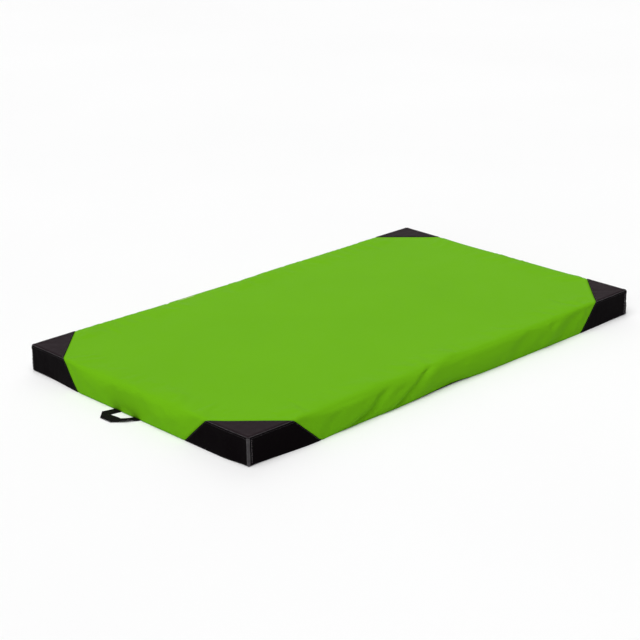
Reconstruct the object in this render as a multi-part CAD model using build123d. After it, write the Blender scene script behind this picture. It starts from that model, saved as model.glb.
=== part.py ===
from build123d import *

import os
from math import ceil, sqrt

# A crash landing mat: a foam stack in a zipped cover, with black corner caps and webbing handles.
# +X is along the mat's length, +Y across it, and +Z up. The origin is on the floor, under the
# middle of the mat. The zip and the vents are in the +Y wall. All sizes are in millimetres.

# The covered mat
mat_length = 2000.0
mat_width = 1200.0
edge_radius = 8.0

# Foam stack, from the floor up
base_foam_height = 20.0
core_foam_height = 60.0
top_foam_height = 20.0

# Cover
cover_thickness = 1.0
base_sheet_thickness = 1.5
top_slack = 1.5

# Corner caps: the top seam crosses at 45 degrees this far from the corner
cap_leg = 200.0
binding_lap = 2.0
binding_thickness = 1.0

# Handles of flat webbing, sewn into the bottom seam of both end walls
webbing_width = 38.0
webbing_thickness = 2.0
handle_spacing = 110.0
handle_reach = 95.0
handle_off_centre = 18.0
handle_tail = 60.0
handle_stub = 10.0
handle_hinge_gap = 1.5
tail_clearance = 0.5

# Zip
zip_level = 34.0
zip_end_gap = 25.0
tooth_row_width = 3.5
tooth_row_thickness = 2.6
tooth_row_gap = 2.0
tape_width = 14.0
tape_thickness = 0.6
tape_overhang = 7.0
window_margin = 3.0
stop_length = 5.0
stop_proud = 0.3

# Zip slider
slider_length = 16.0
slider_nose = 8.0
slider_plate = 1.3
slider_clearance = 0.6
slider_wall_gap = 1.0
slider_tape_gap = 0.4
slider_tooth_gap = 0.4
slider_end_gap = 0.5
post_length = 5.0
bridge_length = 11.0
bridge_wall = 1.9
bridge_width = 2.6
bridge_opening = 2.4
bridge_thickness = 1.0

# Zip pull
pull_pin_diameter = 1.6
pull_side_gap = 0.4
pull_end_gap = 0.9
pull_arm_width = 1.5
pull_thickness = 1.5
pull_length = 38.0
pull_tip_width = 9.0
pull_hole_diameter = 4.0

# Vents: eyelets through the +Y wall, each with a washer inside
vent_level = 76.0
vent_from_cap = 200.0
vent_spacing = 60.0
vents_in_row = 3
eyelet_bore = 9.5
eyelet_flange = 19.0
eyelet_metal = 0.5
eyelet_flange_height = 0.8
eyelet_lip = 14.0
washer_thickness = 0.6
eyelet_clearance = 0.1

# Worked out from the sizes above
half_length = mat_length / 2
half_width = mat_width / 2
# The foam is cut square, to the whole millimetre that lets its corners clear the cover's rounded ones
inside_radius = edge_radius - cover_thickness
corner_run = sqrt((inside_radius**2 - (inside_radius - top_slack) ** 2) / 2)
side_slack = ceil(inside_radius - corner_run)
foam_height = base_foam_height + core_foam_height + top_foam_height
mat_height = base_sheet_thickness + foam_height + top_slack + cover_thickness
foam_length = mat_length - 2 * (cover_thickness + side_slack)
foam_width = mat_width - 2 * (cover_thickness + side_slack)
wall_inside = half_width - cover_thickness
tail_end = half_length + handle_stub
hinge_from_middle = tail_end + handle_hinge_gap
handle_level = base_sheet_thickness + webbing_thickness / 2
window_height = tooth_row_gap + 2 * (tooth_row_width + window_margin)
window_bottom = zip_level - window_height / 2
window_half = half_length - (cap_leg + mat_height - window_bottom) - zip_end_gap
chain_half = window_half - stop_length - window_margin
tooth_middle = wall_inside - tape_thickness / 2
slider_start = chain_half - slider_length / 2 - slider_end_gap
slider_travel = 2 * slider_start
eyelet_hole = eyelet_bore + 2 * (eyelet_metal + eyelet_clearance)
floor_up = (Align.CENTER, Align.CENTER, Align.MIN)
corners = {
    "front_left": (-1, -1),
    "front_right": (1, -1),
    "back_left": (-1, 1),
    "back_right": (1, 1),
}
ends = {"left": -1, "right": 1}


def block(low, high):
    """The box between two opposite corners."""
    size = [b - a for a, b in zip(low, high)]
    return Pos(*low) * Box(*size, align=(Align.MIN, Align.MIN, Align.MIN))


def half_space(point, normal):
    """Everything on the side of a plane that its normal points to, as far as the mat needs."""
    side = 3 * (mat_length + mat_width)
    return Plane(origin=point, z_dir=normal) * Box(side, side, side, align=floor_up)


def rounded_block(length, width, height, radius):
    """A box on the XY plane with its upright edges and its top edges rounded."""
    body = Box(length, width, height, align=floor_up)
    top = body.faces().sort_by(Axis.Z)[-1]
    return fillet(body.edges().filter_by(Axis.Z) + top.edges(), radius)


# Foam


def foam_layer(bottom, height):
    """One glued layer of the foam stack."""
    return Pos(0, 0, bottom) * Box(foam_length, foam_width, height, align=floor_up)


def foam_stack():
    """The firm base layer, the soft core and the top layer, with room for the handles' tails."""
    core_bottom = base_sheet_thickness + base_foam_height
    top_bottom = core_bottom + core_foam_height
    base = foam_layer(base_sheet_thickness, base_foam_height)
    for end in ends.values():
        for pocket in handle_tails(end, tail_clearance):
            base -= pocket
    return {
        "foam_base_layer": base,
        "foam_core": foam_layer(core_bottom, core_foam_height),
        "foam_top_layer": foam_layer(top_bottom, top_foam_height),
    }


# Cover


def cover_shell():
    """The top and the four walls of the whole cover, before the corner caps are cut from it."""
    wall = cover_thickness
    height = mat_height - base_sheet_thickness
    outside = rounded_block(mat_length, mat_width, height, edge_radius)
    inside = rounded_block(mat_length - 2 * wall, mat_width - 2 * wall, height - wall, inside_radius)
    shell = Pos(0, 0, base_sheet_thickness) * (outside - inside)
    for end in ends.values():
        for notch in handle_tails(end, 0.0):
            shell -= notch
    shell -= block(
        (-window_half, wall_inside - 1, window_bottom),
        (window_half, half_width + 1, window_bottom + window_height),
    )
    for x in vent_places():
        shell -= wall_cylinder(x, eyelet_hole / 2, wall_inside - 1, wall + 2)
    return shell


def cap_region(sx, sy):
    """The space on the corner's side of the slanting seam plane."""
    seam_point = (sx * (half_length - cap_leg), sy * half_width, mat_height)
    return half_space(seam_point, (sx, sy, -1))


def corner_cap(shell, name, sx, sy):
    """A cap's three sewn panels, which meet along the corner's three edges."""
    tip = (sx * half_length, sy * half_width, mat_height)
    cap = shell & cap_region(sx, sy)
    above_end = half_space(tip, (-sx, 0, 1))
    above_side = half_space(tip, (0, -sy, 1))
    below_end = half_space(tip, (sx, 0, -1))
    below_side = half_space(tip, (0, sy, -1))
    nearer_end = half_space(tip, (sx, -sy, 0))
    nearer_side = half_space(tip, (-sx, sy, 0))
    return {
        f"{name}_corner_top": cap & above_end & above_side,
        f"{name}_corner_end": cap & below_end & nearer_end,
        f"{name}_corner_side": cap & below_side & nearer_side,
    }


def corner_binding(sx, sy):
    """The folded strip sewn over a corner's upright seam."""
    grown = 2 * binding_thickness
    outside = RectangleRounded(mat_length + grown, mat_width + grown, edge_radius + binding_thickness)
    inside = RectangleRounded(mat_length, mat_width, edge_radius)
    side = 2 * (edge_radius + binding_lap + binding_thickness)
    at_corner = Pos(
        sx * (half_length + binding_thickness),
        sy * (half_width + binding_thickness),
    ) * Rectangle(side, side)
    height = mat_height - edge_radius - base_sheet_thickness
    return Pos(0, 0, base_sheet_thickness) * extrude((outside - inside) & at_corner, height)


def base_sheet():
    """The anti-slip underside, which the mat rests on."""
    return extrude(RectangleRounded(mat_length, mat_width, edge_radius), base_sheet_thickness)


def cover():
    """The green sheet, the four black corner caps with their bindings, and the base sheet."""
    shell = cover_shell()
    green = shell
    pieces = {}
    for name, (sx, sy) in corners.items():
        green -= cap_region(sx, sy)
        pieces.update(corner_cap(shell, name, sx, sy))
        pieces[f"{name}_corner_binding"] = corner_binding(sx, sy)
    return {"green_cover": green, "base_sheet": base_sheet(), **pieces}


# Handles


def handle_legs(end):
    """The Y of a handle's two legs. Both ends are alike when the mat is turned half round."""
    middle = -end * handle_off_centre
    return [middle + side * handle_spacing / 2 for side in (-1, 1)]


def handle_tails(end, clearance):
    """The two sewn-down ends of a handle's webbing and their stiff stubs, grown by a clearance."""
    half = webbing_width / 2 + clearance
    near, far = tail_end, half_length - handle_tail - clearance
    low_x, high_x = sorted((end * near, end * far))
    top = base_sheet_thickness + webbing_thickness + clearance
    return [
        block((low_x, y - half, base_sheet_thickness), (high_x, y + half, top))
        for y in handle_legs(end)
    ]


def handle_loop(end):
    """A handle's free loop: flat webbing with both outer corners folded over at 45 degrees."""
    half = (handle_spacing + webbing_width) / 2
    inner = half - webbing_width
    root, tip = hinge_from_middle, half_length + handle_reach
    outline = Polyline(
        (root, -half),
        (tip - webbing_width, -half),
        (tip, -inner),
        (tip, inner),
        (tip - webbing_width, half),
        (root, half),
        (root, inner),
        (tip - webbing_width, inner),
        (tip - webbing_width, -inner),
        (root, -inner),
        close=True,
    )
    loop = extrude(make_face(outline), webbing_thickness)
    turn = 0 if end > 0 else 180
    middle = Pos(0, -end * handle_off_centre, base_sheet_thickness)
    return middle * Rot(0, 0, turn) * loop


def handles():
    """Both handles, each as a free loop and its two fixed tails."""
    pieces = {}
    for name, end in ends.items():
        pieces[f"{name}_handle_loop"] = handle_loop(end)
        pieces[f"{name}_handle_tails"] = Compound(handle_tails(end, 0.0))
    return pieces


# Zip


def zip_sides():
    """Which way each half of the zip lies from its centre line."""
    return {"upper": 1, "lower": -1}


def zip_strip(side, near, far, half, low_y, high_y):
    """A straight strip of the zip, from near to far off its centre line."""
    low_z, high_z = sorted((zip_level + side * near, zip_level + side * far))
    return block((-half, low_y, low_z), (half, high_y, high_z))


def zip_chain():
    """The two tapes, their rows of teeth, and the stops at both ends."""
    tape_inside = wall_inside - tape_thickness
    near = tooth_row_gap / 2
    far = near + tooth_row_width
    low_y = tooth_middle - tooth_row_thickness / 2
    high_y = tooth_middle + tooth_row_thickness / 2
    pieces = {}
    for name, side in zip_sides().items():
        tape_half = window_half + tape_overhang
        tape = zip_strip(side, far, far + tape_width, tape_half, tape_inside, wall_inside)
        pieces[f"zip_tape_{name}"] = tape
        pieces[f"zip_teeth_{name}"] = zip_strip(side, near, far, chain_half, low_y, high_y)
    stop_low, stop_high = low_y - stop_proud, high_y + stop_proud
    top_stops = [
        Pos(chain_half + stop_length / 2, 0, 0)
        * zip_strip(side, near, far, stop_length / 2, stop_low, stop_high)
        for side in zip_sides().values()
    ]
    pieces["zip_top_stops"] = Compound(top_stops)
    pieces["zip_bottom_stop"] = block(
        (-chain_half - stop_length, stop_low, zip_level - far),
        (-chain_half, stop_high, zip_level + far),
    )
    return pieces


def slider_plates():
    """The slider's outer face, and the lowest and highest Y of the space between its plates."""
    inner = tooth_middle - tooth_row_thickness / 2 - slider_clearance
    outer = tooth_middle + tooth_row_thickness / 2 + slider_clearance
    return outer + slider_plate, inner, outer


def slider_outline(half_height):
    """A plate's outline seen from outside: square at the back, drawn in at the nose."""
    back, nose = -slider_length / 2, slider_length / 2
    nose_half = slider_nose / 2
    points = [
        (back, -half_height),
        (nose - nose_half, -half_height),
        (nose, -nose_half),
        (nose, nose_half),
        (nose - nose_half, half_height),
        (back, half_height),
    ]
    return make_face(Polyline(*points, close=True))


def on_wall(x, y, sketch, thickness):
    """A sketch stood up on the +Y wall at x and y, and thickened outwards."""
    plane = Plane(origin=(x, y, zip_level), x_dir=(1, 0, 0), z_dir=(0, -1, 0))
    return extrude(plane * sketch, -thickness)


def zip_slider():
    """Two plates joined by a post between the rows of teeth, with a bridge for the pull."""
    face, inner, outer = slider_plates()
    x = slider_start
    half = window_height / 2 - slider_wall_gap
    body = on_wall(x, outer, slider_outline(half), slider_plate)
    body += on_wall(x, inner - slider_plate, slider_outline(half), slider_plate)
    post_half = tooth_row_gap / 2 - slider_tooth_gap
    body += block(
        (x - post_length / 2, inner, zip_level - post_half),
        (x + post_length / 2, outer, zip_level + post_half),
    )
    rail_near = tooth_row_gap / 2 + tooth_row_width + slider_tooth_gap
    rail_end = x + slider_length / 2 - slider_nose / 2
    tape_inside = wall_inside - tape_thickness
    for side in zip_sides().values():
        low_z, high_z = sorted((zip_level + side * rail_near, zip_level + side * half))
        for low_y, high_y in ((inner, tape_inside - slider_tape_gap), (wall_inside + slider_tape_gap, outer)):
            body += block((x - slider_length / 2, low_y, low_z), (rail_end, high_y, high_z))
    arch_top = face + bridge_opening + bridge_thickness
    arch = block(
        (x - bridge_length / 2, face, zip_level - bridge_width / 2),
        (x + bridge_length / 2, arch_top, zip_level + bridge_width / 2),
    )
    gap_half = bridge_length / 2 - bridge_wall
    arch -= block(
        (x - gap_half, face, zip_level - bridge_width),
        (x + gap_half, face + bridge_opening, zip_level + bridge_width),
    )
    return body + arch


def pull_pin_y():
    """The Y of the pin that the pull turns on, in the middle of the bridge's opening."""
    return slider_plates()[0] + bridge_opening / 2


def zip_pull():
    """A flat tab whose pin sits under the slider's bridge. At rest it lies along the closed chain."""
    x, y = slider_start, pull_pin_y()
    eye_half = bridge_width / 2 + pull_side_gap
    arm_half = eye_half + pull_arm_width
    eye_end = bridge_length / 2 + pull_end_gap
    tab = Polyline(
        (0, -arm_half),
        (-eye_end, -arm_half),
        (-pull_length + pull_tip_width / 2, -pull_tip_width / 2),
        (-pull_length + pull_tip_width / 2, pull_tip_width / 2),
        (-eye_end, arm_half),
        (0, arm_half),
        close=True,
    )
    tip = Pos(-pull_length + pull_tip_width / 2, 0) * Circle(pull_tip_width / 2)
    eye = Pos(-eye_end / 2, 0) * Rectangle(eye_end, 2 * eye_half)
    hole = Pos(-pull_length + pull_tip_width / 2, 0) * Circle(pull_hole_diameter / 2)
    flat = on_wall(x, y - pull_thickness / 2, make_face(tab) + tip - eye - hole, pull_thickness)
    pin = Pos(x, y, zip_level) * Cylinder(pull_pin_diameter / 2, 2 * arm_half)
    return flat + pin


# Vents


def vent_places():
    """The X of each eyelet: a row near both ends of the +Y wall."""
    seam = half_length - (cap_leg + mat_height - vent_level)
    row_middle = seam - vent_from_cap
    steps = [(i - (vents_in_row - 1) / 2) * vent_spacing for i in range(vents_in_row)]
    return [side * row_middle + step for side in (-1, 1) for step in steps]


def wall_cylinder(x, radius, low_y, depth):
    """A cylinder through the +Y wall at a vent, from low_y outwards."""
    plane = Plane(origin=(x, low_y, vent_level), z_dir=(0, 1, 0))
    return plane * Cylinder(radius, depth, align=floor_up)


def eyelet(x):
    """One eyelet: a flange outside, a barrel through the wall, and a lip rolled over the washer."""
    bore = eyelet_bore / 2
    lip_outside = wall_inside - washer_thickness
    lip_inside = lip_outside - washer_thickness
    top = half_width + eyelet_flange_height
    body = wall_cylinder(x, bore + eyelet_metal, lip_inside, top - lip_inside)
    body += wall_cylinder(x, eyelet_flange / 2, half_width, eyelet_flange_height)
    body += wall_cylinder(x, eyelet_lip / 2, lip_inside, washer_thickness)
    return body - wall_cylinder(x, bore, lip_inside - 1, top - lip_inside + 2)


def washer(x):
    """The ring inside the wall that an eyelet's lip holds."""
    low_y = wall_inside - washer_thickness
    ring = wall_cylinder(x, eyelet_flange / 2, low_y, washer_thickness)
    return ring - wall_cylinder(x, eyelet_hole / 2, low_y - 1, washer_thickness + 2)


def vents():
    """All the eyelets as one node, and all their washers as another."""
    return {
        "vent_eyelets": Compound([eyelet(x) for x in vent_places()]),
        "vent_washers": Compound([washer(x) for x in vent_places()]),
    }


def main():
    """Writes one STEP file for each sub-part."""
    os.makedirs("parts", exist_ok=True)
    pieces = {
        **foam_stack(),
        **cover(),
        **handles(),
        **zip_chain(),
        "zip_slider": zip_slider(),
        "zip_pull": zip_pull(),
        **vents(),
    }
    for name, shape in pieces.items():
        export_step(shape, f"parts/{name}.step")
    print(f"{len(pieces)} nodes, mat height {mat_height} mm")
    print(f"handle hinges at x {hinge_from_middle} mm, z {handle_level} mm")
    print(f"pull pin at x {slider_start} mm, y {pull_pin_y()} mm, z {zip_level} mm")
    print(f"slider travel {slider_travel} mm")


main()
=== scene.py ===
import math

import bpy
import numpy as np
from mathutils import Matrix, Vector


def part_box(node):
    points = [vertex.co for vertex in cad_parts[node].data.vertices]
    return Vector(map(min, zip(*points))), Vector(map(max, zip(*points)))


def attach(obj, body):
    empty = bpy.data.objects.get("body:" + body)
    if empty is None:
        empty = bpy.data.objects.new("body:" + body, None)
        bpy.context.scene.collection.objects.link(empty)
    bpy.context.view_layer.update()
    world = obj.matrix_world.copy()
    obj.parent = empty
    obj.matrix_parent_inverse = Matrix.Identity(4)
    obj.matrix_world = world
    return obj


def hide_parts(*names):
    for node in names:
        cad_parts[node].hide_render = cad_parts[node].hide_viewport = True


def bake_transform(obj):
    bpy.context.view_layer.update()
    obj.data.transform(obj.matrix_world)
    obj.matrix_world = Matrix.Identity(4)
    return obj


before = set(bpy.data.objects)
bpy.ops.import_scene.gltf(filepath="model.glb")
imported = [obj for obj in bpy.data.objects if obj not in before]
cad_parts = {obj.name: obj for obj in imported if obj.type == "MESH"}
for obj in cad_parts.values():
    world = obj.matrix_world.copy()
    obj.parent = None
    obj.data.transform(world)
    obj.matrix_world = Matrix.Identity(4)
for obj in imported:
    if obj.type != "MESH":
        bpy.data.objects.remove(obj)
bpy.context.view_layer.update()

# Crash landing mat. Lengths are metres, and the places come from the frame.
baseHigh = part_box("base_sheet")[1]
halfLength, halfWidth, baseTop = baseHigh.x, baseHigh.y, baseHigh.z
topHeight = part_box("green_cover")[1].z
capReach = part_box("front_left_corner_end")[1].y + halfWidth
capLeg = capReach - (topHeight - baseTop)
root2 = math.sqrt(2)
corners = {"front_left": (-1, -1), "front_right": (1, -1), "back_left": (-1, 1), "back_right": (1, 1)}
print(f"frame loaded: {2 * halfLength:.3f} x {2 * halfWidth:.3f} x {topHeight:.3f} m, caps {capLeg:.3f} m")


# 0 below 0 and 1 above 1, with 3t squared less 2t cubed between
def ease(t):
    t = np.clip(t, 0, 1)
    return t * t * (3 - 2 * t)


# a bell: e to the minus t squared
def bell(t):
    return np.exp(-np.square(t))


# a plateau: eases up after start over the rise, and down to nothing at end over the fall
def plateau(t, start, rise, end, fall):
    return ease((t - start) / rise) * ease((end - t) / fall)


# directions of length 1
def unit(directions):
    return directions / np.linalg.norm(directions, axis=-1, keepdims=True)


# one attribute of a mesh's points, edges or corners, as a list or a table
def readAll(items, attribute, width=1, kind=float):
    values = np.zeros(len(items) * width, kind)
    items.foreach_get(attribute, values)
    return values if width == 1 else values.reshape(-1, width)


# straight runs between the stops, each cut into equal steps of about the given step
def ladder(stops, step):
    runs = [np.linspace(a, b, max(1, round((b - a) / step)) + 1)[:-1] for a, b in zip(stops, stops[1:])]
    return np.append(np.concatenate(runs), stops[-1])


# faces of a grid: a cell with four kept corners is a quad, one with three is a triangle
def patchFaces(keep, drop=None):
    ids = np.arange(keep.size).reshape(keep.shape)
    ring = np.stack([ids[:-1, :-1], ids[1:, :-1], ids[1:, 1:], ids[:-1, 1:]], -1).reshape(-1, 4)
    inside = keep.ravel()[ring]
    if drop is not None:
        inside[drop.ravel()] = False
    count = inside.sum(1)
    threes = count == 3
    return ring[count == 4], ring[threes][inside[threes]].reshape(-1, 3)


# quads of a grid of rows by columns, whose columns may close round into a tube
def gridQuads(rows, columns, closed=False):
    i = np.arange(rows - 1)[:, None]
    j = np.arange(columns if closed else columns - 1)[None, :]
    over = (j + 1) % columns
    corner = [i * columns + j, (i + 1) * columns + j, (i + 1) * columns + over, i * columns + over]
    return np.stack(np.broadcast_arrays(*corner), -1).reshape(-1, 4)


# the fans that close a tube's two ends, round two tip points numbered after its rings
def tubeEnds(rows, columns):
    j = np.arange(columns)
    over = (j + 1) % columns
    first, last, end = rows * columns, rows * columns + 1, (rows - 1) * columns
    return np.concatenate([np.stack([np.full(columns, first), j, over], -1),
                           np.stack([np.full(columns, last), end + over, end + j], -1)])


# faces of a closed slab: an outer grid, an inner grid numbered after it, and the strip round their edge
def slabQuads(rows, columns):
    size = rows * columns
    face = gridQuads(rows, columns)
    left, top = np.arange(rows) * columns, np.arange(columns)
    strips = []
    edges = ((left, True), (left + columns - 1, False), (top, False), (size - columns + top, True))
    for line, turned in edges:
        strip = np.stack([line[:-1], line[1:], line[1:] + size, line[:-1] + size], -1)
        strips.append(strip[:, ::-1] if turned else strip)
    return np.concatenate([face, (face + size)[:, ::-1], *strips])


# a mesh object from points, quads and triangles, with only the points that faces use, and a UV in metres
def makePiece(name, points, quads, tris=None, uv=None, smooth=True):
    points = np.asarray(points, float).reshape(-1, 3)
    tris = np.zeros((0, 3), int) if tris is None else tris
    used, packed = np.unique(np.concatenate([quads.ravel(), tris.ravel()]), return_inverse=True)
    quadList = packed[: quads.size].reshape(-1, 4).tolist()
    triList = packed[quads.size:].reshape(-1, 3).tolist()
    mesh = bpy.data.meshes.new(name)
    mesh.from_pydata(points[used].tolist(), [], quadList + triList)
    if uv is not None:
        flat = np.asarray(uv, float).reshape(-1, 2)[used]
        flat = flat[readAll(mesh.loops, "vertex_index", 1, np.int32)].astype(np.float32)
        mesh.uv_layers.new(name="cut").data.foreach_set("uv", flat.ravel())
    if smooth:
        mesh.shade_smooth()
    else:
        mesh.shade_flat()
    mesh.update()
    piece = bpy.data.objects.new(name, mesh)
    bpy.context.scene.collection.objects.link(piece)
    return piece


# turns a closed piece's faces outwards where its signed volume, the sum of a . (b x c), comes out negative
def faceOutwards(piece):
    mesh = piece.data
    mesh.calc_loop_triangles()
    places = readAll(mesh.vertices, "co", 3)
    corner = readAll(mesh.loop_triangles, "vertices", 3, np.int32)
    a, b, c = (places[corner[:, k]] - places.mean(0) for k in range(3))
    if (a * np.cross(b, c)).sum() < 0:
        mesh.flip_normals()


# gives a sheet its thickness, inwards by default
def thicken(piece, thickness, offset=-1.0):
    wall = piece.modifiers.new("thickness", "SOLIDIFY")
    wall.thickness = thickness
    wall.offset = offset
    wall.use_even_offset = False


# a piece's material and slot, the body that carries it, and the nodes that it stands for
def dress(piece, material, body="mat", replaced=()):
    piece.data.materials.clear()
    piece.data.materials.append(material)
    if body:
        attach(piece, body)
    if replaced:
        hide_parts(*replaced)


# a colour from its 0 to 255 screen values, by the sRGB curve
def linearColour(red, green, blue):
    parts = np.array([red, green, blue]) / 255
    return (*np.where(parts <= 0.04045, parts / 12.92, ((parts + 0.055) / 1.055) ** 2.4), 1.0)


# a new material with its shader's roughness, gloss and any other sockets set
def newShader(name, roughness, specular=0.5, **sockets):
    material = bpy.data.materials.new(name)
    material.use_nodes = True
    tree = material.node_tree
    shader = tree.nodes["Principled BSDF"]
    shader.inputs["Roughness"].default_value = roughness
    shader.inputs["Specular IOR Level"].default_value = specular
    for socket, value in sockets.items():
        shader.inputs[socket.replace("_", " ")].default_value = value
    return material, tree, shader


# a new node: each of its sockets is given a fixed value or linked to another node's output
def addNode(tree, kind, sockets, **settings):
    node = tree.nodes.new("ShaderNode" + kind)
    for setting, value in settings.items():
        setattr(node, setting, value)
    for socket, value in sockets.items():
        if isinstance(value, bpy.types.NodeSocket):
            tree.links.new(value, node.inputs[socket])
        else:
            node.inputs[socket].default_value = value
    return node.outputs


# a pattern's coordinates: the piece's own UV or its Object coordinates
def coordinates(tree, source):
    return addNode(tree, "TexCoord", {})[source]


# soft clouds, 0 to 1, with about this many to the metre
def noise(tree, where, scale, detail=3.0, rough=0.5):
    sockets = {"Vector": where, "Scale": scale, "Detail": detail, "Roughness": rough}
    return addNode(tree, "TexNoise", sockets)["Fac"]


# parallel bands a pitch apart: the node's own bands are 2 pi / 20 apart at scale 1
def waves(tree, where, direction, pitch, distortion=0.0):
    sockets = {"Vector": where, "Scale": math.pi / (10 * pitch), "Distortion": distortion}
    return addNode(tree, "TexWave", sockets, wave_type="BANDS", bands_direction=direction)["Fac"]


# rounded cells: the distance to the nearest of scattered points
def cells(tree, where, scale):
    return addNode(tree, "TexVoronoi", {"Vector": where, "Scale": scale})["Distance"]


# one value and another put together by a named operation
def maths(tree, operation, a, b):
    return addNode(tree, "Math", {0: a, 1: b}, operation=operation)[0]


# a value carried in a straight line from its own range to low and high
def ramp(tree, value, low, high, start=0.0, end=1.0):
    sockets = {"Value": value, "From Min": start, "From Max": end, "To Min": low, "To Max": high}
    return addNode(tree, "MapRange", sockets)["Result"]


# a mix of two colours, each fixed or another node's: the first where the value is 0, the second where 1
def tint(tree, value, first, second):
    first, second = (linearColour(*c) if isinstance(c, tuple) else c for c in (first, second))
    return addNode(tree, "Mix", {"Factor": value, 6: first, 7: second}, data_type="RGBA")[2]


# a surface's bumps, a distance high, over any finer ones
def relief(tree, shader, height, distance, under=None):
    sockets = {"Height": height, "Distance": distance, "Strength": 1.0}
    if under is not None:
        sockets["Normal"] = under
    normal = addNode(tree, "Bump", sockets)["Normal"]
    tree.links.new(normal, shader.inputs["Normal"])
    return normal


# links a colour, and a roughness where one is given, to the shader
def paint(tree, shader, colour, roughness=None):
    tree.links.new(colour, shader.inputs["Base Color"])
    if roughness is not None:
        tree.links.new(roughness, shader.inputs["Roughness"])


vinylLook = {
    "green": (109, 178, 22), "greenShade": (104, 172, 19),
    "black": (10, 6, 8), "blackShade": (7, 4, 6),
    # painted sheen: a paler, warmer black for the caps' top panels, in place of the light they reflect
    "paintedSheen": (43, 34, 38), "paintedSheenDeep": (33, 25, 29),
    "strip": (54, 49, 53), "stripShade": (22, 18, 21),
    "scrimPitch": 0.0013, "scrimHigh": 0.00004, "grainScale": 900.0, "grainHigh": 0.00008,
}


# coated fabric: two crossed sets of fine threads under the coat, and clouds of colour and gloss
def greenVinyl():
    look = vinylLook
    material, tree, shader = newShader("green coated fabric", 0.50, 0.006)
    where = coordinates(tree, "UV")
    clouds = noise(tree, where, 3.0, 4.0)
    paint(tree, shader, tint(tree, clouds, look["green"], look["greenShade"]),
          ramp(tree, noise(tree, where, 14.0), 0.36, 0.50))
    warp = waves(tree, where, "X", look["scrimPitch"])
    weft = waves(tree, where, "Y", look["scrimPitch"])
    threads = relief(tree, shader, maths(tree, "MAXIMUM", warp, weft), look["scrimHigh"])
    relief(tree, shader, noise(tree, where, 60.0, 2.0), 0.0004, threads)
    return material


# leather-grained vinyl: small cells with creases between them, and broad soft dents. Above the walls, on the
# caps' top panels, a paler, warmer black is painted in: a painted sheen standing in for the light those tops
# reflect.
def blackVinyl():
    look = vinylLook
    material, tree, shader = newShader("black grained vinyl", 0.34, 0.011)
    where = coordinates(tree, "UV")
    clouds = noise(tree, where, 18.0, 4.0)
    plainBlack = tint(tree, clouds, look["black"], look["blackShade"])
    paintedSheenTone = tint(tree, clouds, look["paintedSheen"], look["paintedSheenDeep"])
    height = addNode(tree, "SeparateXYZ", {"Vector": coordinates(tree, "Object")})["Z"]
    # painted sheen: above the walls the black turns paler and warmer, standing in for the tops' reflected
    # light
    paintedSheenMask = ramp(tree, height, 0.0, 1.0, topHeight - 0.0050, topHeight - 0.0015)
    paint(tree, shader, tint(tree, paintedSheenMask, plainBlack, paintedSheenTone), ramp(tree, noise(tree, where, 40.0), 0.33, 0.50))
    grain = relief(tree, shader, cells(tree, where, look["grainScale"]), look["grainHigh"])
    relief(tree, shader, noise(tree, where, 35.0, 2.0), 0.0012, grain)
    return material


# the bindings' vinyl strip: rubbed in patches
def bindingVinyl():
    look = vinylLook
    material, tree, shader = newShader("folded vinyl strip", 0.32, 0.45)
    where = coordinates(tree, "Object")
    patches = ramp(tree, noise(tree, where, 60.0, 3.0), -0.8, 1.8)
    paint(tree, shader, tint(tree, patches, look["strip"], look["stripShade"]),
          ramp(tree, patches, 0.30, 0.46))
    relief(tree, shader, noise(tree, where, 160.0, 2.0), 0.0005)
    return material


# woven tape: ribs across it times the threads along it, and a faint fuzz
def wovenTape(name, first, second, ribPitch, threadPitch):
    material, tree, shader = newShader(name, 0.72, 0.10)
    where = coordinates(tree, "UV")
    ribs = waves(tree, where, "Y", ribPitch, 0.4)
    threads = waves(tree, where, "X", threadPitch, 0.6)
    weave = maths(tree, "MULTIPLY", ribs, threads)
    fuzz = noise(tree, where, 700.0, 4.0)
    mixed = maths(tree, "MULTIPLY", weave, fuzz)
    paint(tree, shader, tint(tree, mixed, first, second), ramp(tree, fuzz, 0.62, 0.82))
    relief(tree, shader, weave, 0.0003)
    return material


# rubbery underside: raised dots in a square pattern, one wave across times one along
def antiSlip():
    material, tree, shader = newShader("anti-slip base", 0.75, 0.3)
    where = coordinates(tree, "UV")
    dotPitch = 0.006
    across, along = waves(tree, where, "X", dotPitch), waves(tree, where, "Y", dotPitch)
    dots = maths(tree, "MULTIPLY", across, along)
    worn = noise(tree, where, 9.0, 4.0)
    paint(tree, shader, tint(tree, worn, (40, 40, 42), (56, 56, 57)), ramp(tree, dots, 0.85, 0.55))
    relief(tree, shader, dots, 0.0008)
    return material


# a material whose two colours, gloss and bumps all follow one pattern, which is made with its own settings
def patterned(name, pattern, settings, colours, gloss, bumps, roughness, specular, **sockets):
    material, tree, shader = newShader(name, roughness, specular, **sockets)
    value = pattern(tree, coordinates(tree, "Object"), *settings)
    paint(tree, shader, tint(tree, value, *colours), ramp(tree, value, *gloss) if gloss else None)
    relief(tree, shader, value, bumps)
    return material


# foam: open or closed cells
def foamCells(name, first, second, scale):
    return patterned(name, cells, [scale], (first, second), (0.9, 1.0), 0.0006, 0.95, 0.1)


# metal or moulded plastic with a slightly uneven, lightly scuffed face
def hardFace(name, first, second, metallic, low, high, scale):
    scuffs = [scale, 5.0, 0.6]
    return patterned(name, noise, scuffs, (first, second), (low, high), 0.00005, 0.3, 0.5, Metallic=metallic)


# spun thread: fine slanting plies
def sewingThread(name, first, second):
    plies, sheen = ["DIAGONAL", 0.0006], {"Sheen_Weight": 0.2, "Sheen_Roughness": 0.4}
    return patterned(name, waves, plies, (first, second), None, 0.0001, 0.6, 0.4, **sheen)


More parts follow.
